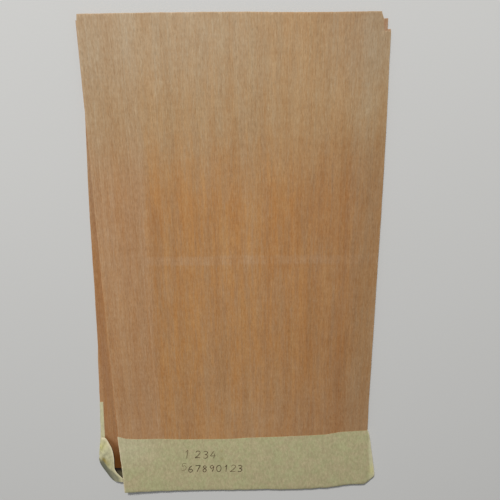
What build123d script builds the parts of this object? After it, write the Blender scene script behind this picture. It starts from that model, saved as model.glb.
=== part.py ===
from build123d import *
import math
import os

# A small bundle of four thin wood veneer sheets, lying flat on its back and
# held together at its lower end by one turn of paper tape.
# Units are millimetres. X runs across the grain, Y along it (the tape end is
# at -Y), and Z points up, out of the front face. All plan outlines below are
# given from the middle of the front sheet's lower edge, and every plane is
# then moved so that the bundle's box stands centred on the origin.

# ---------------------------------------------------------------- dimensions
sheet_t = 0.6            # thickness of each veneer sheet
tape_t = 0.2             # thickness of the paper tape with its creases
tape_w = 50.0            # width of the tape

front_w = 200.0          # front sheet, across the grain
front_l = 360.0          # front sheet, along the grain

second_w = 198.1         # second sheet, a little lower and to the left
second_l = 356.0
second_top = 355.9
second_left = -100.9
second_turn = 0.22       # degrees, its foot swings to the left

rear_w = 197.0           # third and back sheets, turned in the bundle
third_l = 339.4
third_top_left = (-97.1, 359.9)
third_turn = 3.1         # degrees, the foot swings to the left
back_l = 331.0
back_top_left = (-98.0, 359.2)
back_turn = 3.12

lift = 2.2               # how far the two front sheets bow up at the left
lift_from = -15.0        # where the bow starts, across the sheet
bow_edge = -100.0        # where the bow has risen by "lift"

fold_top_x = 100.7       # the tape's loose fold past the right edge:
fold_top_y = 56.1        # tight at its upper edge ...
fold_low_x = 109.7       # ... and standing off at its lower edge
fold_low_y = 11.9
fold_r = 0.6             # outer radius of the fold

tape_low = -1.5          # the tape's lower edge, just past the sheets' ends
wrap_low = (-118.1, 33.4)    # lower end of the turn round the left edge
wrap_mid = (-115.35, 50.0)
wrap_top = (-113.5, 82.3)    # upper end of the turn round the left edge

# heights of the layers, from the floor up
z_back = tape_t
z_third = z_back + sheet_t
z_second = z_third + sheet_t
z_front = z_second + sheet_t
z_face = z_front + sheet_t
z_split = z_second       # the front band is above this, the rear band below

# the box of the whole bundle, which puts the origin under its middle
x_mid = (wrap_low[0] + fold_low_x) / 2
y_mid = (tape_low + front_l) / 2

plan = Plane(origin=(-x_mid, -y_mid, 0), x_dir=(1, 0, 0), z_dir=(0, 0, 1))


def section_plane(y):
    """An upright plane across the bundle at y, seen from the tape end."""
    return Plane(origin=(-x_mid, y - y_mid, 0), x_dir=(1, 0, 0), z_dir=(0, -1, 0))


def turned(top_left, w, l, degrees):
    """The four corners of a sheet whose foot swings to the left."""
    a = math.radians(degrees)
    right = (math.cos(a), -math.sin(a))
    down = (-math.sin(a), -math.cos(a))
    x, y = top_left
    return [
        (x, y),
        (x + w * right[0], y + w * right[1]),
        (x + w * right[0] + l * down[0], y + w * right[1] + l * down[1]),
        (x + l * down[0], y + l * down[1]),
    ]


def bow_height(z, x):
    """Height of the bowed surface that starts at z, at a place x."""
    if x >= lift_from:
        return z
    s = (lift_from - x) / (lift_from - bow_edge)
    return z + lift * s * s


# The front sheet has lost its upper right corner along the grain. The two
# front sheets were trimmed a little short at the lower right, under the tape.
front_outline = [
    (-100.0, 0.0), (45.0, 0.0), (front_w / 2, 5.6), (100.0, 347.9), (98.6, 347.5), (97.1, 348.0),
    (95.4, 347.6), (94.95, 349.2), (94.6, 352.4), (94.5, 354.6), (93.7, 356.6),
    (93.1, 358.4), (92.9, 360.0), (-100.0, 360.0),
]
second_corners = turned((second_left, second_top), second_w, second_l, second_turn)
second_lean = math.tan(math.radians(second_turn))
second_outline = [
    second_corners[0], second_corners[1],
    (second_corners[1][0] - (second_corners[1][1] - 6.4) * second_lean, 6.4),
    (45.0, 0.9), (second_left - (second_top - 0.6) * second_lean, 0.6),
]

# The third sheet has lost a long splinter along its lower left edge.
third_corners = turned(third_top_left, rear_w, third_l, third_turn)
third_outline = [
    third_corners[0], third_corners[1], third_corners[2],
    (-112.6, third_corners[3][1] - 0.15), (-112.2, 36.0), (-111.6, 50.0),
    (-110.8, 66.0), (-109.9, 82.0), (-109.45, 98.0), (-109.35, 118.0),
    (-109.32, 134.0),
]
back_outline = turned(back_top_left, rear_w, back_l, back_turn)

# The tape's plan outlines: the front band and the rear band meet at the fold.
front_band = [
    (-100.5, 51.4), (-70.0, 50.3), (-34.1, 49.5), (-1.7, 49.6), (22.0, 50.5),
    (46.8, 51.9), (79.0, 54.4), (fold_top_x, fold_top_y), (116.0, fold_top_y),
    (116.0, fold_low_y), (fold_low_x, fold_low_y), (107.2, 9.6), (104.1, 7.4),
    (99.4, 4.1), (85.3, 2.2), (64.4, 0.9), (47.8, -1.1), (-2.6, tape_low),
    (-60.0, tape_low + 0.3), (-99.9, tape_low),
]
rear_band = [
    wrap_top, (fold_top_x, fold_top_y), (116.0, fold_top_y), (116.0, fold_low_y),
    (fold_low_x, fold_low_y), (100.0, 6.4), wrap_low, wrap_mid,
]

# ------------------------------------------------------------------- sheets
with BuildPart() as front_sheet:
    with BuildSketch(section_plane(-5)):
        with BuildLine():
            Polyline((lift_from, z_front), (105, z_front), (105, z_face), (lift_from, z_face))
            Bezier((lift_from, z_face), ((lift_from + bow_edge) / 2, z_face), (bow_edge, z_face + lift))
            Line((bow_edge, z_face + lift), (bow_edge, z_front + lift))
            Bezier((bow_edge, z_front + lift), ((lift_from + bow_edge) / 2, z_front), (lift_from, z_front))
        make_face()
    extrude(amount=-(front_l + 10))
    with BuildSketch(plan):
        with BuildLine():
            Polyline(*front_outline, close=True)
        make_face()
    extrude(amount=z_face + lift + 5, mode=Mode.INTERSECT)

# The bow of the second sheet runs on a little past the front sheet's edge.
bow_end = -103.0
bow_end_z = lift * ((lift_from - bow_end) / (lift_from - bow_edge)) ** 2

with BuildPart() as second_sheet:
    with BuildSketch(section_plane(-5)):
        with BuildLine():
            Polyline((lift_from, z_second), (105, z_second), (105, z_front), (lift_from, z_front))
            Bezier((lift_from, z_front), ((lift_from + bow_end) / 2, z_front), (bow_end, z_front + bow_end_z))
            Line((bow_end, z_front + bow_end_z), (bow_end, z_second + bow_end_z))
            Bezier((bow_end, z_second + bow_end_z), ((lift_from + bow_end) / 2, z_second), (lift_from, z_second))
        make_face()
    extrude(amount=-(front_l + 10))
    with BuildSketch(plan):
        with BuildLine():
            Polyline(*second_outline, close=True)
        make_face()
    extrude(amount=z_face + lift + 5, mode=Mode.INTERSECT)

with BuildPart() as third_sheet:
    with BuildSketch(plan.offset(z_third)):
        with BuildLine():
            Polyline(*third_outline, close=True)
        make_face()
    extrude(amount=sheet_t)

with BuildPart() as back_sheet:
    with BuildSketch(plan.offset(z_back)):
        with BuildLine():
            Polyline(*back_outline, close=True)
        make_face()
    extrude(amount=sheet_t)

# --------------------------------------------------------------------- tape
# The room that the band fills in plan: the front band's outline above the
# split, the rear band's outline below it.
with BuildPart() as band_room:
    with BuildSketch(plan):
        with BuildLine():
            Polyline(*rear_band, close=True)
        make_face()
    extrude(amount=z_split)
    with BuildSketch(plan.offset(z_split)):
        with BuildLine():
            Polyline(*front_band, close=True)
        make_face()
    extrude(amount=z_face + lift + 5)

# The fold's line in plan leans outwards towards its lower edge.
fold_lean = (fold_low_x - fold_top_x) / (fold_top_y - fold_low_y)
start_y = -8.0
start_x = fold_low_x + fold_lean * (fold_low_y - start_y)
run_y = 100.0
run_length = run_y * math.sqrt(1 + fold_lean ** 2)
run_dir = Vector(-fold_lean, 1, 0).normalized()
z_tape = z_face + tape_t

with BuildPart() as masking_tape:
    # rear band, fold and the right half of the front band, as one hooked strip
    with BuildSketch(section_plane(start_y)):
        with BuildLine():
            FilletPolyline((-160, 0), (start_x, 0), (start_x, z_tape), (0, z_tape), radius=fold_r)
            Polyline((0, z_tape), (0, z_face))
            FilletPolyline((0, z_face), (start_x - tape_t, z_face), (start_x - tape_t, tape_t),
                           (-160, tape_t), radius=fold_r - tape_t)
            Polyline((-160, tape_t), (-160, 0))
        make_face()
    extrude(amount=run_length, dir=run_dir)
    # the left half of the front band, over the bow of the front sheet
    with BuildSketch(section_plane(start_y)):
        with BuildLine():
            Polyline((lift_from, z_face), (30, z_face), (30, z_tape), (lift_from, z_tape))
            Bezier((lift_from, z_tape), ((lift_from + bow_end) / 2, z_tape), (bow_end, z_tape + bow_end_z))
            Line((bow_end, z_tape + bow_end_z), (bow_end, z_face + bow_end_z))
            Bezier((bow_end, z_face + bow_end_z), ((lift_from + bow_end) / 2, z_face), (lift_from, z_face))
        make_face()
    extrude(amount=-run_y)
    add(band_room.part, mode=Mode.INTERSECT)
    # the turn round the back sheet's left edge, low above and higher below
    with BuildSketch(plan):
        with BuildLine():
            Polyline(wrap_mid, wrap_top, (wrap_top[0] + tape_t, wrap_top[1]),
                     (wrap_mid[0] + tape_t, wrap_mid[1]), close=True)
        make_face()
    extrude(amount=z_third + tape_t)
    with BuildSketch(plan):
        with BuildLine():
            Polyline(wrap_low, wrap_mid, (wrap_mid[0] + tape_t, wrap_mid[1]),
                     (wrap_low[0] + tape_t, wrap_low[1]), close=True)
        make_face()
    extrude(amount=z_second + tape_t)
    # the lip that lies on the back sheet beside the third sheet's edge
    with BuildSketch(plan.offset(z_third)):
        with BuildLine():
            Polyline(wrap_mid, wrap_top, (-110.05, 81.9), (-110.95, 66.0), (-111.75, 50.0), close=True)
        make_face()
    extrude(amount=tape_t)
    # the tape's free end, turned over the third sheet and pulled down
    with BuildSketch(plan.offset(z_second)):
        with BuildLine():
            Polyline(wrap_mid, (-111.5, 50.5), (-108.8, 44.8), (-107.1, 38.0), (-106.6, 31.0),
                     (-106.4, 13.5), (-106.4, 9.2), (-107.6, 8.7), (-110.7, 11.4), (-113.2, 15.8),
                     (-115.7, 20.6), (-117.5, 25.2), (-118.0, 29.6), wrap_low, close=True)
        make_face()
    extrude(amount=tape_t)
    # the narrow tail that rises from the free end to the front band's corner
    with BuildSketch(section_plane(8.6)):
        with BuildLine():
            Polyline((-107.6, z_second), (-106.4, z_second + 0.05), (-103.7, z_second + 1.8),
                     (-102.8, z_face + lift - 0.4), (-102.2, z_face + lift + 0.02),
                     (-99.4, z_face + lift + 0.02), (-99.4, z_tape + lift - 0.04),
                     (-102.3, z_tape + lift + 0.03), (-103.0, z_tape + lift - 0.35),
                     (-103.9, z_second + 2.0), (-106.5, z_second + tape_t + 0.05),
                     (-107.6, z_second + tape_t), close=True)
        make_face()
    extrude(amount=-5.4)

front_sheet.part.label = "front_sheet"
second_sheet.part.label = "second_sheet"
third_sheet.part.label = "third_sheet"
back_sheet.part.label = "back_sheet"
masking_tape.part.label = "masking_tape"

os.makedirs("parts", exist_ok=True)
export_step(front_sheet.part, "parts/front_sheet.step")
export_step(second_sheet.part, "parts/second_sheet.step")
export_step(third_sheet.part, "parts/third_sheet.step")
export_step(back_sheet.part, "parts/back_sheet.step")
export_step(masking_tape.part, "parts/masking_tape.step")

for piece in (front_sheet, second_sheet, third_sheet, back_sheet, masking_tape):
    box = piece.part.bounding_box()
    print(piece.part.label, "solids", len(piece.part.solids()), "volume", round(piece.part.volume, 2),
          "from", [round(v, 2) for v in (box.min.X, box.min.Y, box.min.Z)],
          "to", [round(v, 2) for v in (box.max.X, box.max.Y, box.max.Z)])
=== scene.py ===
import math

import bpy
import numpy as np
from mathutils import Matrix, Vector, noise
from mathutils.geometry import delaunay_2d_cdt

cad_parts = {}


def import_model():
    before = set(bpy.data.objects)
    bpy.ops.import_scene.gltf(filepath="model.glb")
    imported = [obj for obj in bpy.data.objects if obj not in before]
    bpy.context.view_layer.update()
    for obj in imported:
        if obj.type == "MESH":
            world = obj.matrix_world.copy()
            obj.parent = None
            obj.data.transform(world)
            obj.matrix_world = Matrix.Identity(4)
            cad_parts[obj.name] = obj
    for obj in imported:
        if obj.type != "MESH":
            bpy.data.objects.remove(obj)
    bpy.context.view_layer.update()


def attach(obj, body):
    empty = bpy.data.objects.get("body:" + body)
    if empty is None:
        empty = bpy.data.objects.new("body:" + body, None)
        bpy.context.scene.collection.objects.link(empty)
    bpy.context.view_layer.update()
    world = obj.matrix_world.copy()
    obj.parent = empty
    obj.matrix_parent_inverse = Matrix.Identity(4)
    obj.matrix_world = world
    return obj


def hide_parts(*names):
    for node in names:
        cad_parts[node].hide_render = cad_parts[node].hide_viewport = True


# The looks of a small bundle of wood veneer sheets held by a turn of paper
# tape. Plan measures are in millimetres from the middle of the front sheet's
# lower edge (x across the grain, y along it, z up from the floor), and are
# moved to the row frame by OX and OY.

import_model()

OX, OY = 4.2, -179.25
Z_BACK, Z_THIRD, Z_SECOND, Z_FRONT = 0.2, 0.8, 1.4, 2.0
SHEET = 0.6
LIFT, LIFT_FROM, BOW_EDGE = 2.2, -15.0, -100.0


# ------------------------------------------------------------------ helpers
def world(x, y, z):
    return ((x + OX) * 0.001, (y + OY) * 0.001, z * 0.001)


def smooth(a, b, x):
    t = min(1.0, max(0.0, (x - a) / (b - a)))
    return t * t * (3 - 2 * t)


def lerp(a, b, t):
    return a + (b - a) * t


def along(points, x):
    """Height of a polyline of (x, y) points, with x rising, at a place x."""
    for (x0, y0), (x1, y1) in zip(points, points[1:]):
        if x <= x1:
            return lerp(y0, y1, max(0.0, (x - x0) / (x1 - x0)))
    return points[-1][1]


def wobble(x, y=0.0, z=0.0):
    """Smooth noise from -1 to 1."""
    return max(-1.0, min(1.0, noise.noise(Vector((x, y, z))) * 1.6))


def rise(x, y, seed):
    """Smooth noise from 0 to 1."""
    return 0.5 + 0.5 * wobble(x, y, seed)


def lin(r, g, b):
    """8-bit display colour to the linear colour that the nodes take."""
    def one(c):
        c /= 255.0
        return c / 12.92 if c <= 0.04045 else ((c + 0.055) / 1.055) ** 2.4
    return (one(r), one(g), one(b), 1.0)


# ------------------------------------------------------------ node materials
class Mat:
    """A short hand for writing node materials."""

    def __init__(self, name):
        self.mat = bpy.data.materials.new(name)
        self.mat.use_nodes = True
        self.tree = self.mat.node_tree
        self.tree.nodes.clear()
        self.out = self.tree.nodes.new("ShaderNodeOutputMaterial")
        self.coord = self.tree.nodes.new("ShaderNodeTexCoord").outputs["Object"]

    def put(self, socket, value):
        if isinstance(value, bpy.types.NodeSocket):
            self.tree.links.new(value, socket)
        else:
            socket.default_value = value

    def math(self, op, a, b=None, c=None, clamp=False):
        n = self.tree.nodes.new("ShaderNodeMath")
        n.operation = op
        n.use_clamp = clamp
        for i, v in enumerate((a, b, c)):
            if v is not None:
                self.put(n.inputs[i], v)
        return n.outputs[0]

    def vec(self, op, a, b=None, c=None):
        n = self.tree.nodes.new("ShaderNodeVectorMath")
        n.operation = op
        for i, v in enumerate((a, b, c)):
            if v is not None:
                self.put(n.inputs[i], v)
        return n.outputs[0]

    def split(self, v):
        n = self.tree.nodes.new("ShaderNodeSeparateXYZ")
        self.put(n.inputs[0], v)
        return n.outputs

    def join(self, x, y, z):
        n = self.tree.nodes.new("ShaderNodeCombineXYZ")
        for i, v in enumerate((x, y, z)):
            self.put(n.inputs[i], v)
        return n.outputs[0]

    def attr(self, name):
        n = self.tree.nodes.new("ShaderNodeAttribute")
        n.attribute_type = "GEOMETRY"
        n.attribute_name = name
        return n.outputs["Fac"]

    def noise(self, v, detail=2.0, rough=0.5, distort=0.0):
        n = self.tree.nodes.new("ShaderNodeTexNoise")
        n.noise_dimensions = "3D"
        self.put(n.inputs["Vector"], v)
        n.inputs["Scale"].default_value = 1.0
        n.inputs["Detail"].default_value = detail
        n.inputs["Roughness"].default_value = rough
        n.inputs["Distortion"].default_value = distort
        return n.outputs[0]

    def streak(self, v, wide, long, seed, detail=2.0, rough=0.5, distort=0.0):
        """Noise whose features are wide by long millimetres; v is in millimetres."""
        p = self.vec("MULTIPLY_ADD", v, (1.0 / wide, 1.0 / long, 0.02),
                     (seed * 7.31 % 50, seed * 3.17 % 50, seed * 5.73 % 50))
        return self.noise(p, detail, rough, distort)

    def range(self, v, a, b, c=0.0, d=1.0, smoother=True):
        n = self.tree.nodes.new("ShaderNodeMapRange")
        n.interpolation_type = "SMOOTHSTEP" if smoother else "LINEAR"
        n.clamp = True
        self.put(n.inputs["Value"], v)
        for k, w in (("From Min", a), ("From Max", b), ("To Min", c), ("To Max", d)):
            n.inputs[k].default_value = w
        return n.outputs[0]

    def mix(self, fac, a, b, mode="MIX"):
        n = self.tree.nodes.new("ShaderNodeMix")
        n.data_type = "RGBA"
        n.blend_type = mode
        n.clamp_factor = True
        for k, v in ((0, fac), (6, a), (7, b)):
            self.put(n.inputs[k], v)
        return n.outputs[2]

    def tint(self, col, value, powers=None):
        """col times a grey value, or times its powers for red, green and blue."""
        n = self.tree.nodes.new("ShaderNodeVectorMath")
        if powers:
            n.operation = "MULTIPLY"
            self.put(n.inputs[1], self.join(*(self.math("POWER", value, e) for e in powers)))
        else:
            n.operation = "SCALE"
            self.put(n.inputs["Scale"], value)
        self.put(n.inputs[0], col[:3] if isinstance(col, tuple) else col)
        return n.outputs[0]

    def bump(self, height, distance, strength=1.0, normal=None):
        n = self.tree.nodes.new("ShaderNodeBump")
        n.inputs["Strength"].default_value = strength
        n.inputs["Distance"].default_value = distance
        self.put(n.inputs["Height"], height)
        if normal is not None:
            self.put(n.inputs["Normal"], normal)
        return n.outputs[0]

    def shader(self, color, rough, normal, **fixed):
        n = self.tree.nodes.new("ShaderNodeBsdfPrincipled")
        self.put(n.inputs["Base Color"], color)
        self.put(n.inputs["Roughness"], rough)
        self.put(n.inputs["Normal"], normal)
        for k, v in fixed.items():
            n.inputs[k.replace("_", " ")].default_value = v
        self.tree.links.new(n.outputs[0], self.out.inputs["Surface"])
        return n

    def add_all(self, terms, start=1.0):
        """start plus the sum of amount times (noise - 0.5) for each pair."""
        total = start
        for src, amount in terms:
            total = self.math("MULTIPLY_ADD", self.math("SUBTRACT", src, 0.5), amount, total)
        return total


def veneer(name, seed, turn=0.0, warm=(174, 124, 71), cool=(162, 121, 80), bright=1.0, gloss=0.3, marks=False):
    """Sliced veneer: soft long bands broken into flames, dense short streaks,
    small dark pores and a cross mottle; its dark parts are more orange and its
    pale ones greyer. turn is the sheet's turn in degrees."""
    m = Mat(name)
    rot = m.tree.nodes.new("ShaderNodeVectorRotate")
    rot.rotation_type = "Z_AXIS"
    rot.inputs["Angle"].default_value = math.radians(turn)
    m.put(rot.inputs["Vector"], m.coord)
    p = m.vec("MULTIPLY_ADD", rot.outputs[0], (1000.0, 1000.0, 1000.0), (-OX, -OY, 0.0))
    x, y, z = m.split(p)
    # the grain wanders a little sideways
    wander = m.add_all([(m.streak(p, 60, 240, seed + 1, 1.0), 6.0), (m.streak(p, 7, 60, seed + 2, 1.0), 1.4),
                        (m.streak(p, 1.6, 14, seed + 3, 1.0), 0.35)], 0.0)
    gx = m.math("ADD", x, wander)
    q = m.join(gx, y, z)

    bands = m.streak(q, 11, 900, seed + 4, 2.0, 0.55)
    flames = m.streak(q, 8, 75, seed + 5, 3.0, 0.6)
    patches = m.streak(q, 7, 22, seed + 6, 3.0, 0.6)
    lines = m.streak(q, 1.3, 90, seed + 7, 3.0, 0.6)
    fibre = m.streak(q, 0.7, 12, seed + 8, 3.0, 0.65)
    short = m.streak(q, 0.75, 3.2, seed + 9, 2.0, 0.6)
    ticks = m.streak(q, 0.34, 1.3, seed + 10, 2.0, 0.6)
    cloud = m.streak(p, 40, 70, seed + 11, 2.0)
    ripple = m.streak(p, 16, 4.0, seed + 12, 2.0, 0.55, 0.6)
    hue_a = m.streak(q, 15, 150, seed + 13, 3.0, 0.55)
    hue_b = m.streak(q, 1.9, 55, seed + 14, 3.0, 0.6)
    hue_c = m.streak(q, 2.0, 16, seed + 21, 3.0, 0.6)

    # short dark pores in lanes, and a few paler threads of filled vessels
    pore_lane = m.range(m.streak(q, 2.6, 50, seed + 15, 2.0), 0.40, 0.66)
    pores = m.math("MULTIPLY", m.range(m.streak(q, 0.40, 3.4, seed + 16, 1.5, 0.5), 0.54, 0.70),
                   m.math("MULTIPLY_ADD", pore_lane, 0.7, 0.3))
    pale = m.range(m.streak(q, 0.5, 8, seed + 17, 1.5, 0.5), 0.58, 0.74)

    value = m.add_all([(bands, 0.20), (flames, 0.27), (patches, 0.25), (lines, 0.22), (fibre, 0.48),
                       (short, 0.30), (cloud, 0.07), (ripple, 0.14)], bright)
    value = m.math("MULTIPLY_ADD", pale, 0.08, value)
    shade = m.add_all([(short, 0.24), (ticks, 0.40)], 1.0)
    shade = m.math("MULTIPLY", shade, m.math("MULTIPLY_ADD", pores, -0.17, 1.01))

    hue = m.add_all([(hue_a, 0.46), (hue_b, 0.48), (hue_c, 0.44), (short, 0.28)], 0.5)
    col = m.mix(m.range(hue, 0.34, 0.66), lin(*warm), lin(*cool))
    grey = m.range(m.streak(q, 7, 110, seed + 18, 3.0, 0.6), 0.45, 0.70)
    col = m.mix(m.math("MULTIPLY", grey, 0.24), col, lin(158, 125, 86))

    if marks:
        # the paler lane along the left, the browner lanes along the right with painted
        # shade that darkens the right side, a painted sheen that makes the far end paler,
        # and the faint pressed line across the middle
        left = m.range(gx, -59.5, -68.5)
        for middle, half, amount in ((-88.3, 3.2, 0.04), (-65.8, 3.0, 0.03), (-12.0, 10.0, 0.02)):
            lane = m.range(m.math("ABSOLUTE", m.math("SUBTRACT", gx, middle)), half, 0.3 * half)
            value = m.math("MULTIPLY_ADD", m.math("MULTIPLY", lane, m.range(y, 330.0, 270.0)), amount, value)
        col = m.mix(m.math("MULTIPLY", left, 0.50), col, lin(167, 129, 95))
        col = m.mix(m.math("MULTIPLY", m.range(gx, -84.0, -89.0), m.range(y, 120.0, 260.0, 0.0, 0.12)), col, lin(165, 142, 118))
        threads = m.range(m.streak(q, 1.0, 400, seed + 19, 2.0, 0.5), 0.52, 0.68)
        value = m.math("MULTIPLY_ADD", m.math("MULTIPLY", left, threads), 0.08, value)
        wob = m.math("MULTIPLY", m.math("SUBTRACT", cloud, 0.5), 16.0)
        # right: painted shade, darker and greyer towards the right edge where less light falls; lane: the wood's own
        # browner lanes there
        right = m.math("MULTIPLY", m.range(m.math("ADD", gx, wob), 22.0, 72.0), m.range(y, 325.0, 250.0))
        lane = m.math("MULTIPLY", right, m.range(m.streak(q, 6.5, 260, seed + 20, 2.0), 0.34, 0.62))
        value = m.math("MULTIPLY", value, m.math("MULTIPLY_ADD", right, -0.045, 1.0))
        col = m.mix(m.math("MULTIPLY", right, 0.12), col, lin(158, 132, 110))
        value = m.math("MULTIPLY", value, m.math("MULTIPLY_ADD", lane, -0.07, 1.0))
        shade = m.math("MULTIPLY", shade, m.math("MULTIPLY_ADD", right, -0.09, 1.0))
        # painted sheen: the far end is painted paler and greyer, most at the upper left, and greyer and darker at the
        # upper right
        end = m.range(m.math("ADD", y, wob), 235.0, 305.0)
        col = m.mix(m.math("MULTIPLY", end, 0.46), col, lin(163, 143, 110))
        value = m.math("MULTIPLY_ADD", m.range(y, 295.0, 350.0), -0.030, value)
        col = m.mix(m.math("MULTIPLY", m.range(y, 300.0, 345.0), m.range(x, 50.0, -60.0, 0.0, 0.28)), col, lin(178, 165, 141))
        col = m.mix(m.math("MULTIPLY", m.range(y, 290.0, 340.0), m.range(x, 40.0, 90.0, 0.0, 0.42)), col, lin(147, 126, 103))
        edge = m.range(x, 74.0, 94.0)
        col = m.mix(m.math("MULTIPLY", edge, 0.38), col, lin(152, 129, 98))
        value = m.math("MULTIPLY_ADD", edge, 0.045, value)
        value = m.math("MULTIPLY_ADD", m.math("MULTIPLY", m.range(y, 190.0, 120.0), m.range(x, 30.0, -20.0)), 0.02, value)
        foot = m.math("MULTIPLY", m.range(y, 130.0, 55.0), m.range(x, -80.0, 80.0, 0.10, 0.34))
        col = m.mix(foot, col, lin(166, 132, 99))
        off = m.math("ABSOLUTE", m.math("SUBTRACT", m.math("MULTIPLY_ADD", cloud, 3.0, y), 200.0))
        press = m.math("MULTIPLY", m.range(off, 4.4, 2.2),
                       m.math("MULTIPLY", m.range(x, -74.0, -58.0), m.range(patches, 0.30, 0.62, 0.35, 1.0)))
        press = m.math("MULTIPLY", press, m.range(x, 98.0, 30.0, 0.5, 0.95))
        col = m.mix(m.math("MULTIPLY", press, 0.24), col, lin(180, 150, 120))
    else:
        # painted sheen: the rear sheets' far ends are painted greyer
        col = m.mix(m.range(y, 185.0, 255.0, 0.0, 0.42), col, lin(160, 135, 108))
        col = m.mix(m.range(y, 300.0, 335.0, 0.0, 0.55), col, lin(152, 122, 99))
    # cut edges are paler: partly the cut fibres' own colour, partly a painted highlight along the edge
    rim = m.attr("rim")
    col = m.mix(m.math("MULTIPLY", rim, 0.40), col, lin(184, 150, 112))
    value = m.math("MULTIPLY_ADD", rim, 0.03, value)
    # painted shade: dark brown where the sheets stand apart at the tape, standing for the shadow in the gap
    painted_shade = m.attr("painted_shade")
    col = m.mix(painted_shade, col, lin(96, 57, 4))
    value = m.math("MULTIPLY", value, m.math("MULTIPLY_ADD", painted_shade, -0.12, 1.0))
    col = m.tint(m.tint(col, value, (0.62, 1.15, 1.80)), shade)

    height = m.add_all([(fibre, 0.5), (short, 0.5), (ticks, 0.35), (lines, 0.4), (ripple, 0.5)], 0.0)
    height = m.math("MULTIPLY_ADD", pores, -0.6, height)
    normal = m.bump(height, 0.00007, 0.9)
    rough = m.add_all([(lines, 0.14), (patches, 0.14), (short, 0.12)], 0.56)
    rough = m.math("MULTIPLY_ADD", pores, 0.12, rough)
    rough = m.math("MULTIPLY_ADD", painted_shade, 0.42, rough, clamp=True)
    m.shader(col, rough, normal, Specular_IOR_Level=gloss, IOR=1.5)
    return m.mat


def tape_material(name, seed):
    """Creped paper tape: pale yellow green, fine wrinkles across its length,
    mottled where the glue and the wood show through."""
    m = Mat(name)
    p = m.vec("MULTIPLY_ADD", m.coord, (1000.0, 1000.0, 1000.0), (-OX, -OY, 0.0))
    crepe = m.streak(p, 0.45, 1.9, seed + 1, 3.0, 0.62)
    crepe_b = m.streak(p, 0.85, 3.2, seed + 2, 2.0, 0.6)
    grit = m.streak(p, 0.5, 0.5, seed + 3, 2.0, 0.6)
    cloud = m.streak(p, 10, 12, seed + 4, 3.0, 0.6)
    spot = m.streak(p, 1.7, 3.2, seed + 5, 2.0, 0.6)
    under = m.streak(p, 2.6, 50, seed + 6, 2.0, 0.6)
    warm = m.streak(p, 14, 12, seed + 7, 3.0, 0.6)
    dapple = m.streak(p, 1.9, 3.0, seed + 8, 2.0, 0.6)
    value = m.add_all([(crepe, 0.28), (crepe_b, 0.34), (grit, 0.14), (cloud, 0.12), (spot, 0.34), (under, 0.14)], 1.01)
    x, y, z = m.split(p)
    # painted shade and light: darker towards the band's lower edge and right end, lighter towards the upper left
    value = m.math("MULTIPLY", value, m.range(m.math("MULTIPLY_ADD", x, -0.30, y), -30.0, 70.0, 0.93, 1.07, False))
    hue = m.add_all([(warm, 0.50), (dapple, 0.45)], 0.5)
    col = m.mix(m.range(hue, 0.36, 0.64), lin(170, 168, 127), lin(177, 165, 130))
    col = m.mix(m.math("MULTIPLY", m.range(spot, 0.62, 0.40), 0.25), col, lin(160, 150, 110))
    # paler at the band's upper left corner
    col = m.mix(m.math("MULTIPLY", m.range(x, -55.0, -95.0), m.range(y, 14.0, 42.0, 0.0, 0.34)), col, lin(190, 184, 156))
    # the free parts, with no wood behind them, are paler and yellower
    col = m.mix(m.attr("loose"), col, lin(194, 190, 154))
    # painted highlight: yellower and paler where the tape catches the light
    col = m.mix(m.attr("painted_highlight"), col, lin(198, 192, 116))
    col = m.mix(m.attr("stain"), col, lin(144, 127, 62))
    # painted highlight: pale cream along the cut end, round the fold and on the flap's crest
    col = m.mix(m.math("MULTIPLY", m.attr("rim"), 0.75), col, lin(222, 210, 178))
    col = m.tint(col, value)
    # painted shade: dark grey green where the tape lies in shade
    painted_shade = m.attr("painted_shade")
    col = m.mix(painted_shade, col, lin(95, 97, 84))
    # painted shade: nearly black far inside the gap
    col = m.mix(m.attr("painted_black_shade"), col, lin(26, 16, 8))
    height = m.add_all([(crepe, 1.0), (crepe_b, 0.7), (grit, 0.5), (spot, 0.6)], 0.0)
    normal = m.bump(height, 0.00012, 1.0)
    rough = m.add_all([(crepe, 0.2), (cloud, 0.1)], 0.62)
    rough = m.math("MULTIPLY_ADD", m.attr("painted_black_shade"), 0.34, rough, clamp=True)
    m.shader(col, rough, normal, Specular_IOR_Level=0.35)
    return m.mat


def ink_material(name):
    m = Mat(name)
    p = m.vec("MULTIPLY", m.coord, (1000.0, 1000.0, 1000.0))
    a = m.streak(p, 0.5, 0.5, 3, 3.0, 0.7)
    b = m.streak(p, 4.0, 5.0, 5, 2.0, 0.6)
    fac = m.range(m.math("ADD", m.math("MULTIPLY", a, 0.6), m.math("MULTIPLY", b, 0.4)), 0.36, 0.66)
    col = m.mix(fac, lin(54, 36, 26), lin(96, 74, 54))
    col = m.mix(m.attr("faint"), col, lin(150, 137, 102))
    m.shader(col, 0.6, m.bump(a, 0.00005), Specular_IOR_Level=0.3)
    return m.mat


def floor_material(name):
    m = Mat(name)
    a = m.noise(m.vec("MULTIPLY", m.coord, (2.5, 2.5, 2.5)), 3.0, 0.5)
    b = m.noise(m.vec("MULTIPLY", m.coord, (900.0, 900.0, 900.0)), 2.0, 0.6)
    value = m.add_all([(a, 0.05), (b, 0.03)], 1.0)
    col = m.tint(lin(197, 197, 196), value)
    m.shader(col, 0.85, m.bump(b, 0.00004, 0.6), Specular_IOR_Level=0.2)
    return m.mat


# ------------------------------------------------------------------- camera
cam_data = bpy.data.cameras.new("camera")
cam_data.lens = 28.8
cam_data.sensor_width = 36.0
cam_data.clip_start = 0.01
cam = bpy.data.objects.new("camera", cam_data)
bpy.context.scene.collection.objects.link(cam)
cam.location = world(9.98371, 273.14964, 281.90812)
cam.rotation_euler = (-0.23626, 0.00334, -0.01176)
bpy.context.scene.camera = cam

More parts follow.
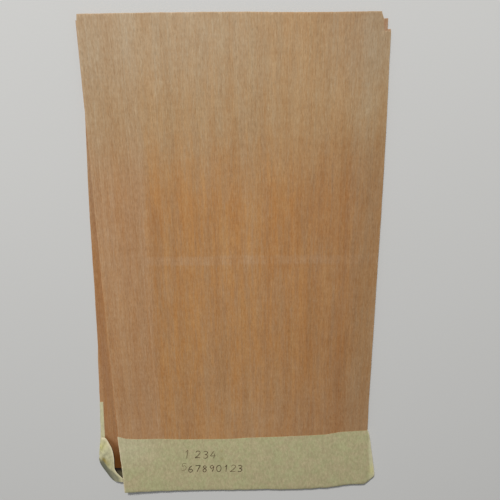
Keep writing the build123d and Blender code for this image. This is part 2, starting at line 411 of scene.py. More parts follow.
# -------------------------------------------------------------------- stage
floor_mesh = bpy.data.meshes.new("floor")
floor_mesh.from_pydata([(-4, -4, 0), (4, -4, 0), (4, 4, 0), (-4, 4, 0)], [], [(0, 1, 2, 3)])
floor = bpy.data.objects.new("floor", floor_mesh)
bpy.context.scene.collection.objects.link(floor)
floor_mesh.materials.append(floor_material("floor"))

world_data = bpy.data.worlds.new("studio")
bpy.context.scene.world = world_data
world_data.use_nodes = True
bg = world_data.node_tree.nodes["Background"]
bg.inputs[0].default_value = (0.97, 0.99, 1.0, 1.0)
bg.inputs[1].default_value = 0.19


def area(name, at, target, size, power, color=(1, 1, 1)):
    data = bpy.data.lights.new(name, "AREA")
    data.shape = "RECTANGLE"
    data.size, data.size_y = size
    data.energy = power
    data.color = color
    o = bpy.data.objects.new(name, data)
    bpy.context.scene.collection.objects.link(o)
    o.location = at
    o.rotation_euler = (Vector(target) - Vector(at)).to_track_quat("-Z", "Y").to_euler()
    return o


area("low_key", (-0.38, 2.05, 1.50), (0.0, 0.0, 0.0), (0.40, 0.30), 71.0, (1.0, 0.99, 0.97))
area("high_softbox", (-0.60, 1.30, 1.75), (0.0, 0.0, 0.0), (0.70, 0.55), 8.0, (1.0, 0.99, 0.97))

bpy.context.scene.view_settings.view_transform = "Standard"


# ------------------------------------------------------------- mesh building
def boundary_of(faces):
    """The directed edges that only one face has."""
    seen = set()
    for f in faces:
        for a, b in zip(f, f[1:] + f[:1]):
            seen.add((a, b))
    return [(a, b) for a, b in seen if (b, a) not in seen]


def closed_piece(name, node, upper, lower, faces, attributes, material, body="root"):
    """A closed mesh between two skins that share their faces: upper and lower
    are (n, 3) arrays in millimetres, faces turn anticlockwise seen from above."""
    n = len(upper)
    rim = boundary_of(faces)
    verts = [world(*p) for p in np.concatenate([upper, lower]).tolist()]
    all_faces = [list(f) for f in faces]
    all_faces += [[i + n for i in reversed(f)] for f in faces]
    all_faces += [[b, a, a + n, b + n] for a, b in rim]
    mesh = bpy.data.meshes.new(name)
    mesh.from_pydata(verts, [], all_faces)
    mesh.polygons.foreach_set("use_smooth", [True] * len(mesh.polygons))
    rim_set = {frozenset(e) for e in rim} | {frozenset((a + n, b + n)) for a, b in rim}
    # upright edges are sharp where the outline turns a corner
    after = {a: b for a, b in rim}
    before = {b: a for a, b in rim}
    corners = set()
    for b in after:
        if b in before:
            u = Vector(upper[b] - upper[before[b]])
            v = Vector(upper[after[b]] - upper[b])
            if u.length > 1e-9 and v.length > 1e-9 and u.angle(v) > 0.6:
                corners.add(frozenset((b, b + n)))
    mesh.edges.foreach_set("use_edge_sharp", [frozenset(e.vertices) in rim_set or frozenset(e.vertices) in corners for e in mesh.edges])
    for key, (up, low) in attributes.items():
        a = mesh.attributes.new(key, "FLOAT", "POINT")
        a.data.foreach_set("value", np.concatenate([up, low]).astype(np.float32))
    mesh.update()
    mesh.validate()
    mesh.materials.append(material)
    o = bpy.data.objects.new(name, mesh)
    bpy.context.scene.collection.objects.link(o)
    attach(o, body)
    if node:
        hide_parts(node)
    return o


def area_of(poly):
    x, y = poly[:, 0], poly[:, 1]
    return 0.5 * float((x * np.roll(y, -1) - np.roll(x, -1) * y).sum())


def ragged(outline, seed, grainwise, crosswise):
    """The outline in steps of about a millimetre, with the small unevenness of
    a cut edge: less along the grain than across it."""
    pts = np.array(outline, float)
    if area_of(pts) < 0:
        pts = pts[::-1]
    out = []
    for i in range(len(pts)):
        (x0, y0), (x1, y1) = pts[i], pts[(i + 1) % len(pts)]
        length = math.hypot(x1 - x0, y1 - y0)
        k = max(1, round(length / 1.1))
        nx, ny = (y1 - y0) / length, -(x1 - x0) / length
        a = grainwise if abs(y1 - y0) > abs(x1 - x0) else crosswise
        for j in range(k):
            f = j / k
            x, y = lerp(x0, x1, f), lerp(y0, y1, f)
            d = a * (0.8 * wobble(x / 1.1, y / 1.6, seed) + 0.8 * wobble(x / 6, y / 9, seed + 5.3) + 1.3 * wobble(x / 42, y / 60, seed + 9.1))
            d *= min(1.0, f * length / 2.0, (1 - f) * length / 2.0)
            out.append((x + nx * d, y + ny * d))
    return np.array(out)


def inside(poly, pts):
    hit = np.zeros(len(pts), bool)
    a, b = poly, np.roll(poly, -1, 0)
    for (x0, y0), (x1, y1) in zip(a, b):
        if y0 == y1:
            continue
        cross = (pts[:, 1] < y0) != (pts[:, 1] < y1)
        hit ^= cross & (pts[:, 0] < (x1 - x0) * (pts[:, 1] - y0) / (y1 - y0) + x0)
    return hit


def edge_distance(poly, pts):
    best = np.full(len(pts), 1e9)
    a, b = poly, np.roll(poly, -1, 0)
    for p, q in zip(a, b):
        d = q - p
        t = np.clip(((pts - p) @ d) / max(d @ d, 1e-12), 0, 1)
        best = np.minimum(best, np.hypot(*(pts - p - t[:, None] * d).T))
    return best


def painted_gap_shade(x, y):
    """How much the faces are painted dark as shade in the gap at the tape's left end, 0 to 1."""
    return (0.58 * smooth(47.6, 42.4, y + x + 104.0) + 0.42 * smooth(44.0, 29.0, y)) * smooth(-98.2, -99.6, x)


def sheet(name, node, outline, low, seed, material, grainwise=0.05, crosswise=0.11, step=2.6):
    """A veneer sheet: low(x, y) is the height of its under face."""
    ring = ragged(outline, seed, grainwise, crosswise)
    tangent = np.roll(ring, -1, 0) - np.roll(ring, 1, 0)
    tangent /= np.linalg.norm(tangent, axis=1)[:, None]
    inward = np.stack([-tangent[:, 1], tangent[:, 0]], 1)
    near = ring + inward * 0.15
    far = (ring + inward * 0.75)[::2]
    lo, hi = ring.min(0), ring.max(0)
    gx, gy = np.meshgrid(np.arange(lo[0], hi[0], step), np.arange(lo[1], hi[1], step * 1.25))
    grid = np.stack([gx.ravel(), gy.ravel()], 1)
    picked = [ring]
    for pts, least in ((near, 0.12), (far, 0.55), (grid, 1.5)):
        keep = inside(ring, pts) & (edge_distance(ring, pts) > least)
        picked.append(pts[keep])
    plan = np.concatenate(picked)
    verts, _, faces, origin, _, _ = delaunay_2d_cdt([Vector(p) for p in plan.tolist()], [], [list(range(len(ring)))], 1, 1e-5)
    verts = np.array([v[:] for v in verts])
    faces = [list(f) for f in faces]
    faces = [f if area_of(verts[f]) > 0 else f[::-1] for f in faces]
    first = np.array([min(o) if o else 10 ** 9 for o in origin])
    on_rim = first < len(ring)
    on_near = (first >= len(ring)) & (first < len(ring) + len(picked[1]))
    height = np.array([low(x, y) for x, y in verts.tolist()])
    upper = np.column_stack([verts, height + SHEET - 0.05 * on_rim])
    lower = np.column_stack([verts, height + 0.04 * on_rim])
    rim = 1.0 * on_rim + 0.55 * on_near
    # painted shade in the gap at the tape's left end
    painted_shade = np.array([painted_gap_shade(x, y) for x, y in verts.tolist()])
    return closed_piece(name, node, upper, lower, faces, {"rim": (rim, rim), "painted_shade": (painted_shade, painted_shade)}, material)


# ------------------------------------------------------------------- sheets
def turned(top_left, w, l, degrees):
    a = math.radians(degrees)
    right = (math.cos(a), -math.sin(a))
    down = (-math.sin(a), -math.cos(a))
    x, y = top_left
    return [(x, y), (x + w * right[0], y + w * right[1]),
            (x + w * right[0] + l * down[0], y + w * right[1] + l * down[1]),
            (x + l * down[0], y + l * down[1])]


front_outline = [
    (-98.9, 0.0), (45.0, 0.0), (100.9, 5.6), (101.0, 60.0), (100.6, 82.0), (100.55, 150.0), (100.5, 190.0),
    (100.65, 225.0), (100.5, 262.0), (100.2, 288.0), (99.8, 312.0), (99.35, 332.0), (99.3, 347.9), (98.4, 347.5), (97.1, 348.0),
    (95.4, 347.6), (94.95, 349.2), (94.6, 352.4), (94.5, 354.6), (93.7, 356.4),
    (93.1, 357.9), (92.9, 359.0), (48.0, 359.15), (24.0, 359.4), (4.0, 359.9), (-20.0, 360.2), (-54.0, 360.1),
    (-80.0, 359.85), (-98.5, 359.4), (-99.0, 354.5), (-99.3, 340.0), (-99.4, 200.0), (-99.5, 50.0), (-99.1, 26.0),
]
corners = turned((-99.75, 355.9), 197.0, 356.0, 0.20)
second_outline = [corners[0], corners[1], (corners[1][0] - (corners[1][1] - 6.4) * 0.0035, 6.4),
                  (45.0, 0.9), (-98.7, 0.6), (-98.9, 14.0), (-99.3, 30.0), (-100.0, 42.0), (-100.65, 52.0),
                  (-100.2, 180.0), (-99.75, 300.0)]
corners = turned((-97.1, 359.9), 197.0, 339.4, 3.1)
third_outline = [
    corners[0], corners[1], corners[2], (-112.6, corners[3][1] - 0.15), (-112.2, 36.0),
    (-111.6, 50.0), (-110.8, 66.0), (-109.9, 82.0), (-109.5, 98.0), (-109.3, 118.0), (-109.2, 130.0),
    (-108.3, 150.0), (-107.0, 177.0), (-106.0, 205.0), (-105.0, 231.0), (-103.6, 256.0), (-102.55, 272.0),
]
corners = turned((-98.0, 359.2), 197.0, 331.0, 3.12)
back_outline = corners[:3] + [
    corners[3], (-113.4, 70.0), (-112.5, 88.0), (-111.9, 97.0), (-111.1, 111.0), (-110.6, 120.0), (-109.45, 131.0),
    (-108.3, 145.0), (-103.5, 250.0),
]


# The sheets lie close, with small gaps that open away from the tape, and the
# two front ones bow up at the left.
def bow(x, y):
    if x >= LIFT_FROM:
        return 0.0
    s = (LIFT_FROM - x) / (LIFT_FROM - BOW_EDGE)
    return LIFT * s * s * (1.0 - 0.13 * smooth(80, 320, y))


def free(x, y):
    """1 where a front sheet is free to wave, 0 at the tape and at the bow."""
    s = max(0.0, (LIFT_FROM - x) / (LIFT_FROM - BOW_EDGE))
    return smooth(58, 170, y) * (1.0 - 0.8 * min(1.0, s))


def low_back(x, y):
    return Z_BACK - 0.15 * smooth(110, 240, y) + 0.08 * rise(x / 60, y / 80, 1.5) * smooth(80, 160, y)


def low_third(x, y):
    return (low_back(x, y) + SHEET + 0.02 + 0.14 * rise(x / 55, y / 75, 4.5) * smooth(60, 150, y)
            + 0.16 * smooth(-78, -108, x) * smooth(95, 190, y))


def low_second(x, y):
    return low_third(x, y) + SHEET + 0.02 + bow(x, y) + 0.24 * rise(x / 60, y / 85, 7.5) * free(x, y)


def low_front(x, y):
    return low_second(x, y) + SHEET + 0.02 + 0.30 * rise(x / 65, y / 70, 10.5) * free(x, y)


back_veneer = veneer("back_veneer", 31, 3.12, warm=(176, 129, 84), cool=(168, 126, 88))
third_veneer = veneer("third_veneer", 17, 3.1, warm=(165, 120, 77), cool=(157, 116, 81), bright=0.96)
second_veneer = veneer("second_veneer", 42, 0.20, warm=(171, 121, 74), cool=(163, 117, 78), bright=0.97)
front_veneer = veneer("front_veneer", 11, warm=(174, 125, 74), cool=(162, 122, 83), gloss=0.34, marks=True)

sheet("back_sheet_veneer", "back_sheet", back_outline, low_back, 3.3, back_veneer)
sheet("third_sheet_veneer", "third_sheet", third_outline, low_third, 6.1, third_veneer, grainwise=0.07)
sheet("second_sheet_veneer", "second_sheet", second_outline, low_second, 8.9, second_veneer)
sheet("front_sheet_veneer", "front_sheet", front_outline, low_front, 12.7, front_veneer)

# --------------------------------------------------------------------- tape
# One strip of tape as a ruled sheet: columns run along its length, from the
# cut end on the front, round the fold at the right, along the back, and round
# the left edge; rows run from its lower edge to its upper edge. Past the left
# edge the strip is split: its upper rows end as a lip on the back sheet and
# its lower rows as a crumpled flap that is pulled down to the front band.
TAPE = 0.15
GAP = 0.10          # from a sheet's face to the middle of the tape

front_up = [(-100.6, 53.4), (-98.4, 53.0), (-94.0, 51.2), (-85.0, 50.2), (-66.0, 49.9), (-50.0, 48.9), (-30.0, 48.7), (-10.0, 48.7),
            (5.0, 49.7), (22.0, 50.2), (40.0, 50.8), (58.0, 51.5), (68.0, 52.2), (79.0, 54.4), (100.9, 55.6)]
front_low = [(-100.6, -1.3), (-60.0, -0.9), (-2.6, -1.1), (8.0, -0.9), (14.0, -0.5), (21.0, -0.4), (30.0, -1.1), (47.8, -0.8),
             (60.0, -0.3), (70.0, 0.3), (76.0, 1.4), (85.3, 2.9), (90.0, 3.5), (97.0, 3.5), (101.6, 4.1), (105.6, 7.2), (109.6, 11.7)]
rear_up = [(-113.5, 82.3), (100.9, 55.7)]
rear_low = [(-118.1, 33.4), (100.0, 6.4), (109.6, 11.7)]
# the fold, from its lower to its upper end
fold = [(109.6, 11.7), (109.1, 16.4), (107.9, 23.5), (106.7, 30.4), (105.4, 37.3), (104.3, 44.2), (103.0, 50.9), (101.3, 55.7)]
fold_up, fold_low = fold[-1], fold[0]
wrap_low, wrap_mid, wrap_up = (-118.1, 33.4), (-115.3, 50.0), (-112.9, 82.3)
T_MID = 0.34


def fold_x(t):
    """The fold's silhouette at a row."""
    y = lerp(fold_low[1], fold_up[1], t)
    return along([(b, a) for a, b in fold], y)


def cut_x(t):
    """The cut end of the band at the left at a row."""
    return along([(0.0, -98.85), (0.27, -98.9), (0.53, -99.15), (0.78, -99.65), (1.0, -99.95)], t)


def spaced(first, last, step, ends):
    """Numbers from first to last, closer together at the ends."""
    inner = np.arange(1, max(2, round((last - first) / step))) / max(2, round((last - first) / step))
    ts = [first] + [first + e for e in ends] + [first + (last - first) * f for f in inner if
          ends[-1] < (last - first) * f < (last - first) - ends[-1]] + [last - e for e in reversed(ends)] + [last]
    return ts


rows = spaced(0.0, 1.0, 0.026, (0.005, 0.016))
MID = min(range(len(rows)), key=lambda i: abs(rows[i] - T_MID))
rows[MID] = T_MID
N_ROWS = len(rows)


def wrinkle(x, y):
    """Small creases of the tape that lies on wood, 0 or more, in millimetres."""
    c = 0.05 * rise(x / 1.9, y / 8.0, 21.0) + 0.04 * rise(x / 6.0, y / 5.0, 24.0)
    slack = smooth(52, 98, x) * smooth(40, 6, y)
    ridge = max(0.0, 1.0 - abs(wobble((x + 0.8 * y) / 24.0, (y - 0.3 * x) / 60.0, 27.0)) * 4.5)
    return c + 0.22 * slack * ridge


def front_height(x, y):
    """Middle of the tape on the front face."""
    z = low_front(min(x, 99.9), min(max(y, 0.3), 58.0)) + SHEET + GAP + wrinkle(x, y)
    below = smooth(0.4, -1.6, y) if x < 46 else smooth(along(front_low, x) + 1.8, along(front_low, x), y)
    return z - 0.35 * below


def low_edge(x):
    """The band's lower edge with its small waves."""
    return along(front_low, x) + 0.30 * wobble(x / 7.5, 0.0, 31.0) + 0.16 * wobble(x / 2.4, 0.0, 33.0)


def up_edge(x):
    return along(front_up, x) + 0.10 * wobble(x / 9.0, 0.0, 35.0) + 0.05 * wobble(x / 2.0, 0.0, 37.0)


columns = []        # each is a list of (x, y, z, loose, rim) for every row
FOLD_R = 1.25

# on the front, from the cut end at the left to the fold at the right
for p in spaced(0.0, 1.0, 0.0062, (0.0012, 0.004)):
    col = []
    for t in rows:
        xl = lerp(cut_x(0.0), fold_low[0] - FOLD_R, p)
        xu = lerp(cut_x(1.0), fold_up[0] - FOLD_R * 0.55, p)
        x = lerp(cut_x(t), fold_x(t) - lerp(FOLD_R, FOLD_R * 0.55, t), p)
        x += 0.14 * wobble(t * 9.0, 3.0, 41.0) * max(0.0, 1.0 - p * 60.0)
        y = lerp(low_edge(xl), up_edge(xu), t)
        z = front_height(x, y)
        turn_from = 101.4 + 2.9 * smooth(52.0, 12.0, y)
        loose = smooth(turn_from, turn_from + 1.7, x)
        z -= 0.45 * smooth(100.6, 106.0, x) * smooth(0.0, 6.0, along(front_low, 100.0) + 20 - y * 0.3)
        loose = max(loose, 0.35 * smooth(0.1, -0.9, y))
        rim = max(0.0, 1.0 - p * 210.0 / 0.9)
        col.append((x, y, z, loose, rim))
    columns.append(col)
FRONT_COLUMNS = len(columns)

# round the fold
last = columns[-1]
for a in np.linspace(90, -90, 13)[1:-1]:
    col = []
    for k, t in enumerate(rows):
        fx, fy = fold_x(t), lerp(low_edge(fold_low[0]), fold_up[1], t)
        zt, zb = last[k][2], 0.10
        zc, h = (zt + zb) / 2, (zt + zb) / 2 - zb
        r = lerp(FOLD_R, FOLD_R * 0.55, t)
        c, s = math.cos(math.radians(a)), math.sin(math.radians(a))
        x = fx - r + r * c + 0.12 * wobble(fy / 5.0, a / 60.0, 45.0)
        col.append((x, lerp(last[k][1], fy, c), zc + h * s, 1.0, 0.7 * smooth(-75, -20, a) * smooth(95, 60, a)))
    columns.append(col)

# along the back, against the back sheet and the floor
for p in spaced(0.0, 1.0, 0.0125, (0.004,)):
    col = []
    for t in rows:
        xl = lerp(fold_low[0] - FOLD_R, wrap_low[0] + 0.8, p)
        xu = lerp(fold_up[0] - FOLD_R * 0.55, wrap_up[0] + 0.45, p)
        x = lerp(fold_x(t) - lerp(FOLD_R, FOLD_R * 0.55, t), lerp(wrap_low[0] + 0.8, wrap_up[0] + 0.45, t), p)
        y = lerp(along(rear_low, xl), along(rear_up, xu), t)
        col.append((x, y, 0.10 + 0.012 * wobble(x / 2.5, y / 7.0, 51.0), 0.0, 0.0))
    columns.append(col)


def wrap_line(t):
    if t <= T_MID:
        f = t / T_MID
        return lerp(wrap_low[0], wrap_mid[0], f), lerp(wrap_low[1], wrap_mid[1], f)
    f = (t - T_MID) / (1 - T_MID)
    return lerp(wrap_mid[0], wrap_up[0], f), lerp(wrap_mid[1], wrap_up[1], f)


# round the left edge of the back sheet; the lower rows climb higher
for a in np.linspace(-90, -270, 9)[1:]:
    col = []
    for t in rows:
        wx, wy = wrap_line(t)
        end = lerp(1.60, 0.90, smooth(T_MID - 0.02, T_MID + 0.10, t))
        r = lerp(0.8, 0.45, smooth(T_MID - 0.1, T_MID + 0.1, t))
        zc, h = (0.10 + end) / 2, (end - 0.10) / 2
        c, s = math.cos(math.radians(a)), math.sin(math.radians(a))
        turn = (a + 90) / -180.0
        x = wx + r + r * c + 0.10 * wobble(wy / 4.0, a / 60.0, 55.0)
        loose = 0.25 + 0.35 * smooth(T_MID + 0.05, T_MID - 0.1, t)
        col.append((x, wy, zc + h * s, loose * turn, 0.0))
    columns.append(col)

verts, faces = [], []
for col in columns:
    verts.extend(col)
for c in range(len(columns) - 1):
    for k in range(N_ROWS - 1):
        a = c * N_ROWS + k
        faces.append([a, a + N_ROWS, a + N_ROWS + 1, a + 1])
last_start = (len(columns) - 1) * N_ROWS


flap_row = {}       # the row of each vertex past the turn


def strip(rows_used, column_count, place):
    """More columns after the turn round the left edge, for some of the rows."""
    before = [last_start + k for k in rows_used]
    for c in range(1, column_count + 1):
        now = []
        for k in rows_used:
            now.append(len(verts))
            flap_row[len(verts)] = k
            verts.append(place(k, c / column_count))
        for i in range(len(rows_used) - 1):
            faces.append([before[i], now[i], now[i + 1], before[i + 1]])
        before = now


lip_end = [(50.0, -111.85), (66.0, -111.05), (81.9, -110.15)]


def lip(k, f):
    x0, y0, z0 = verts[last_start + k][:3]
    x1 = along(lip_end, y0) - 0.05
    x = lerp(x0, x1, f)
    return (x, y0, 0.90 + 0.03 * wobble(x / 1.5, y0 / 4.0, 61.0) * f, lerp(0.9, 0.3, f), 0.4 if f == 1 else 0.0)


def curve(points, u):
    """Catmull-Rom curve through the points."""
    n = len(points) - 1
    s = min(u * n, n - 1e-9)
    i = int(s)
    f = s - i
    p = [np.array(points[min(max(j, 0), n)], float) for j in (i - 1, i, i + 1, i + 2)]
    return 0.5 * (2 * p[1] + (p[2] - p[0]) * f + (2 * p[0] - 5 * p[1] + 4 * p[2] - p[3]) * f * f
                  + (3 * p[1] - p[0] - 3 * p[2] + p[3]) * f ** 3)


x0, y0, z0 = verts[last_start][:3]
xm, ym, zm = verts[last_start + MID][:3]
flap_low = [(x0, y0, z0), (-118.4, 29.8, 1.5), (-117.7, 25.0, 1.4), (-115.8, 20.4, 1.3), (-113.3, 15.6, 1.25),
            (-110.8, 11.2, 1.4), (-107.5, 8.4, 2.2), (-103.5, 8.9, 3.7), (-99.2, 9.7, 4.80)]
flap_up = [(xm, ym, zm), (-111.3, 49.9, 1.75), (-108.6, 45.0, 2.0), (-106.6, 39.4, 2.2), (-105.8, 31.8, 2.3),
           (-106.1, 25.0, 2.2), (-106.0, 20.0, 2.4), (-103.5, 16.6, 3.5), (-99.2, 13.2, 4.80)]

# the crumpled middle of the flap, as points of its folds
folds = [
    (-117.6, 41.0, 0.10), (-115.6, 43.5, 0.75), (-115.2, 38.0, 0.10), (-112.6, 42.6, 0.15), (-113.6, 47.6, 0.35),
    (-110.8, 46.5, 0.05), (-109.2, 42.5, 0.35), (-111.2, 37.4, 0.95), (-107.9, 38.2, 0.10), (-114.9, 33.4, 0.85),
    (-109.2, 34.4, 0.55), (-117.0, 33.0, 0.10), (-114.0, 29.2, 0.10), (-111.2, 30.6, 0.85), (-107.6, 30.0, 0.15),
    (-115.4, 26.4, 0.20), (-112.4, 25.4, 0.90), (-109.0, 25.0, 0.45), (-112.4, 21.0, 0.20), (-109.0, 20.4, 0.70),
    (-106.9, 21.0, 0.10), (-107.0, 16.6, 0.15), (-104.0, 14.4, 0.10), (-101.0, 12.0, 0.0), (-121.0, 52.0, 0.0),
    (-104.0, 52.0, 0.0), (-121.0, 20.0, 0.0), (-100.0, 5.0, 0.0), (-110.0, 12.0, 0.0),
]
fold_xy = [Vector(p[:2]) for p in folds]
_, _, fold_tris, _, _, _ = delaunay_2d_cdt(fold_xy, [], [], 0, 1e-6)


def crumple(x, y):
    for tri in fold_tris:
        (ax, ay, az), (bx, by, bz), (cx, cy, cz) = (folds[i] for i in tri)
        d = (by - cy) * (ax - cx) + (cx - bx) * (ay - cy)
        u = ((by - cy) * (x - cx) + (cx - bx) * (y - cy)) / d
        v = ((cy - ay) * (x - cx) + (ax - cx) * (y - cy)) / d
        w = 1 - u - v
        if min(u, v, w) >= -1e-6:
            return u * az + v * bz + w * cz
    return 0.0


def flap(k, f):
    t = rows[k] / T_MID
    a, b = curve(flap_low, f), curve(flap_up, f)
    x, y, z = (a + (b - a) * t).tolist()
    edge = min(1.0, 5.0 * t, 5.0 * (1 - t)) * smooth(0.0, 0.12, f)
    z += 1.3 * crumple(x, y) * (0.35 + 0.65 * edge) * smooth(0.0, 0.10, f) + 0.09 * wobble(x / 1.3, y / 1.3, 71.0) * edge
    return (x, y, z, 0.55, 1.0 if k == MID else 0.6 if k == MID - 1 else 0.0)


strip(list(range(MID, N_ROWS)), 5, lip)
strip(list(range(0, MID + 1)), 44, flap)

pts = np.array([v[:3] for v in verts])
loose = np.array([v[3] for v in verts])
rim = np.array([v[4] for v in verts])


def blot(x, y, rx, ry, amount):
    return amount * np.exp(-((pts[:, 0] - x) / rx) ** 2 - ((pts[:, 1] - y) / ry) ** 2) * (pts[:, 2] > 1.0)


# ochre glue spots, painted highlights where the crumpled flap and the fold catch the light, and painted shade in the
# flap's creases
stain = np.clip(blot(-114.5, 29.0, 1.7, 2.5, 1.0) + blot(-112.5, 27.0, 2.7, 2.5, 0.55) + blot(-17.0, 37.4, 1.1, 1.2, 0.40)
                + blot(-16.8, 29.6, 1.1, 1.4, 0.40), 0, 1)
painted_highlight = np.clip(blot(-115.6, 41.0, 2.4, 3.4, 0.60) + blot(-112.0, 44.5, 2.5, 3.0, 0.25) + blot(-111.0, 24.5, 2.6, 2.4, 0.30)
              + blot(106.8, 18.0, 2.2, 6.0, 0.45), 0, 1)
painted_shade = np.clip(blot(-111.5, 36.8, 2.6, 1.6, 0.22) + blot(-114.0, 34.6, 3.0, 0.9, 0.30) + blot(-109.0, 32.2, 2.2, 1.0, 0.18)
               + blot(-114.4, 38.4, 1.9, 0.8, 0.28), 0, 0.6)
# the flap's lower side is turned away from the light and painted dark as shade
crest = np.array([along([(-118.0, 31.0), (-115.6, 27.8), (-110.2, 20.4), (-107.5, 18.0), (-105.0, 16.0), (-102.0, 13.9), (-99.2, 12.4)], x) for x in pts[:, 0].tolist()])
tail = np.clip((crest - pts[:, 1]) / 1.4, 0, 1) * np.clip((-100.6 - pts[:, 0]) / 3.0, 0, 1) * (pts[:, 2] > 1.0) * (pts[:, 1] < 32.0)
painted_shade = np.clip(painted_shade + 0.66 * tail, 0, 0.92)
rim = rim * (1.0 - tail)
# its outer edge is painted darker still, as darker shade
for i in range(last_start + N_ROWS, len(pts)):
    k = flap_row.get(i, N_ROWS)
    if k < 6:
        painted_shade[i] = max(painted_shade[i], (0.96, 0.96, 0.95, 0.92, 0.86, 0.78)[k] * smooth(31.0, 26.0, pts[i, 1]) * smooth(-103.0, -109.0, pts[i, 0]))
# the band's lower edge is turned down and painted dark as the shadow line under it, more so to the right
for c in range(FRONT_COLUMNS + 5):
    for k, share in ((0, 1.0), (1, 0.7)):
        i = c * N_ROWS + k
        painted_shade[i] = max(painted_shade[i], share * lerp(0.50, 0.95, smooth(0.0, 70.0, pts[i, 0])))

# give the strip its thickness
normals = np.zeros_like(pts)
for f in faces:
    n = np.cross(pts[f[2]] - pts[f[0]], pts[f[3]] - pts[f[1]])
    normals[f] += n
normals /= np.linalg.norm(normals, axis=1)[:, None]
tape_mat = tape_material("paper_tape", 5)
closed_piece("masking_tape_band", "masking_tape", pts + normals * TAPE / 2, pts - normals * TAPE / 2, faces,
             {"loose": (loose, loose), "rim": (rim, rim), "stain": (stain, stain * 0), "painted_highlight": (painted_highlight, painted_highlight), "painted_shade": (painted_shade, painted_shade),
              "painted_black_shade": (rim * 0, rim * 0)},
             tape_mat)

# the strip's turned-in edge, low in the gap between the flap and the band and
# joined to both, painted nearly black as the shade inside the gap
tuck_sides = [
    [(-108.4, 26.0, 0.55), (-108.6, 22.6, 0.60), (-108.6, 19.0, 0.75), (-108.0, 15.4, 1.00), (-106.2, 12.4, 1.50), (-103.0, 10.9, 2.60)],
    [(-98.6, 25.6, 0.45), (-98.5, 22.4, 0.45), (-98.4, 19.0, 0.50), (-98.3, 15.4, 0.70), (-98.2, 12.2, 1.20), (-98.0, 9.8, 2.40)],
]
tuck, tuck_black_shade = [], []
TUCK_U, TUCK_V = 18, 14
for i in range(TUCK_U + 1):
    a, b = curve(tuck_sides[0], i / TUCK_U), curve(tuck_sides[1], i / TUCK_U)
    for j in range(TUCK_V + 1):
        x, y, z = (a + (b - a) * j / TUCK_V).tolist()
        z += 0.16 * wobble(x / 1.6, y / 1.8, 81.0) + 0.10
        tuck.append((x, y, z))
        # painted shade, darkest towards the back of the gap
        tuck_black_shade.append(0.70 + 0.30 * smooth(15.6, 18.6, y + 0.25 * wobble(x, y, 83.0)))
tuck, tuck_black_shade = np.array(tuck), np.array(tuck_black_shade)
tuck_faces = [[i * (TUCK_V + 1) + j, (i + 1) * (TUCK_V + 1) + j, (i + 1) * (TUCK_V + 1) + j + 1, i * (TUCK_V + 1) + j + 1]
              for i in range(TUCK_U) for j in range(TUCK_V)]
none = tuck_black_shade * 0
closed_piece("masking_tape_tuck", "masking_tape", tuck + (0, 0, TAPE / 2), tuck - (0, 0, TAPE / 2), tuck_faces,
             {"loose": (none, none), "rim": (none, none), "stain": (none + 0.6, none + 0.6), "painted_highlight": (none, none),
              "painted_shade": (none + 0.5, none + 0.5), "painted_black_shade": (tuck_black_shade, tuck_black_shade)}, tape_mat)

# ------------------------------------------------------------ pencilled count
# Plain digits by hand, as thin strokes on the band. Each digit is a list of
# strokes in a box one wide and 1.5 high.
DIGITS = {
    "0": [[(0.55, 1.5), (0.2, 1.25), (0.08, 0.75), (0.25, 0.15), (0.6, 0.0), (0.92, 0.4), (0.95, 1.0), (0.75, 1.42), (0.5, 1.48)]],
    "1": [[(0.3, 1.12), (0.5, 1.35), (0.62, 1.5), (0.58, 0.8), (0.52, 0.0)]],
    "2": [[(0.1, 1.2), (0.35, 1.48), (0.75, 1.4), (0.85, 1.05), (0.5, 0.5), (0.05, 0.04), (0.5, 0.1), (0.98, 0.05)]],
    "3": [[(0.12, 1.35), (0.5, 1.5), (0.85, 1.25), (0.7, 0.9), (0.4, 0.8), (0.8, 0.65), (0.92, 0.3), (0.55, 0.0), (0.1, 0.12)]],
    "4": [[(0.55, 1.5), (0.3, 0.95), (0.05, 0.5), (0.5, 0.48), (1.0, 0.52)], [(0.78, 0.95), (0.72, 0.45), (0.68, -0.05)]],
    "5": [[(0.9, 1.46), (0.55, 1.48), (0.25, 1.44)], [(0.25, 1.44), (0.2, 0.9), (0.6, 0.98), (0.9, 0.65), (0.8, 0.2), (0.45, 0.0), (0.08, 0.1)]],
    "6": [[(0.75, 1.5), (0.35, 1.1), (0.12, 0.55), (0.3, 0.05), (0.7, 0.02), (0.88, 0.4), (0.6, 0.72), (0.2, 0.5)]],
    "7": [[(0.05, 1.4), (0.5, 1.44), (0.95, 1.42), (0.7, 0.8), (0.42, 0.0)]],
    "8": [[(0.82, 1.22), (0.5, 1.5), (0.2, 1.2), (0.5, 0.85), (0.85, 0.45), (0.55, 0.0), (0.15, 0.3), (0.45, 0.78), (0.8, 1.1), (0.82, 1.24)]],
    "9": [[(0.85, 1.15), (0.5, 1.5), (0.15, 1.15), (0.35, 0.8), (0.8, 1.0), (0.86, 1.2), (0.8, 0.6), (0.6, 0.0)]],
}
ink_upper, ink_lower, ink_faces, ink_faint = [], [], [], []


def band_face(x, y):
    return front_height(x, y) + TAPE / 2


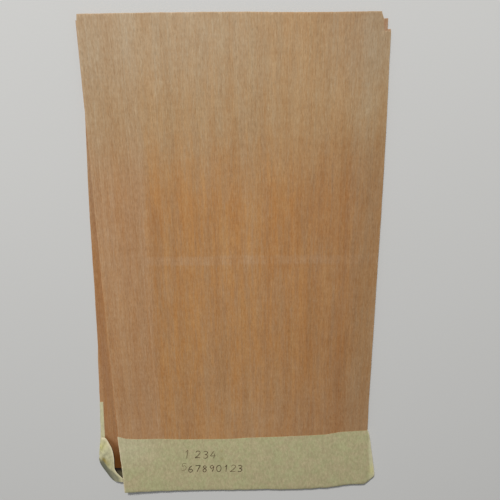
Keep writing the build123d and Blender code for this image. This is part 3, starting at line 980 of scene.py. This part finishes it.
def stroke(points, width, faint, seed):
    n = max(6, round(sum(math.dist(a, b) for a, b in zip(points, points[1:])) / 0.28))
    line = [curve([(*p, 0.0) for p in points], i / n)[:2] for i in range(n + 1)]
    line = [np.array([p[0] + 0.07 * wobble(p[0] / 1.3, p[1] / 1.3, seed), p[1] + 0.07 * wobble(p[0] / 1.3, p[1] / 1.3, seed + 3)]) for p in line]
    base = len(ink_upper)
    for i, p in enumerate(line):
        d = line[min(i + 1, n)] - line[max(i - 1, 0)]
        d /= max(1e-9, np.linalg.norm(d))
        side = np.array([-d[1], d[0]])
        press = 0.80 + 0.35 * rise(p[0] / 2.2, p[1] / 2.2, seed + 7)
        w = width / 2 * press * (0.45 + 0.55 * min(1.0, i / 2.0, (n - i) / 2.0))
        for q in (p + side * w, p - side * w):
            z = band_face(*q)
            ink_upper.append((*q, z + 0.05))
            ink_lower.append((*q, z - 0.01))
            ink_faint.append(max(0.0, faint - 0.25 * (press - 0.975)))
        if i:
            a = base + 2 * (i - 1)
            ink_faces.append([a, a + 1, a + 3, a + 2])


def write(text, x, y, size, pitch, width, faints, seed):
    for i, ch in enumerate(text):
        s = size * (1.0 + 0.10 * wobble(i * 1.7, seed))
        dy = 0.5 * wobble(i * 2.3, seed + 9)
        lean = 0.10 + 0.08 * wobble(i * 1.1, seed + 4)
        for j, pts_ in enumerate(DIGITS.get(ch, [])):
            placed = [(x + (u + lean * v) * s, y + dy + v * s) for u, v in pts_]
            stroke(placed, width, faints[min(i, len(faints) - 1)], seed + i * 3 + j)
        x += pitch * (1.0 + 0.06 * wobble(i * 3.1, seed + 2))


write("1", -48.6, 30.6, 5.4, 8.0, 0.60, [0.40], 3.0)
write("234", -39.0, 31.0, 4.5, 6.2, 0.60, [0.12, 0.22, 0.30], 5.0)
write("5", -51.0, 19.3, 4.6, 6.0, 0.50, [0.55], 7.0)
write("67890123", -45.4, 17.4, 4.2, 5.85, 0.64, [0.05, 0.0, 0.0, 0.12, 0.10, 0.15, 0.4, 0.0], 9.0)
closed_piece("pencilled_count", None, np.array(ink_upper), np.array(ink_lower), ink_faces,
             {"faint": (np.array(ink_faint), np.array(ink_faint))}, ink_material("pencil"))
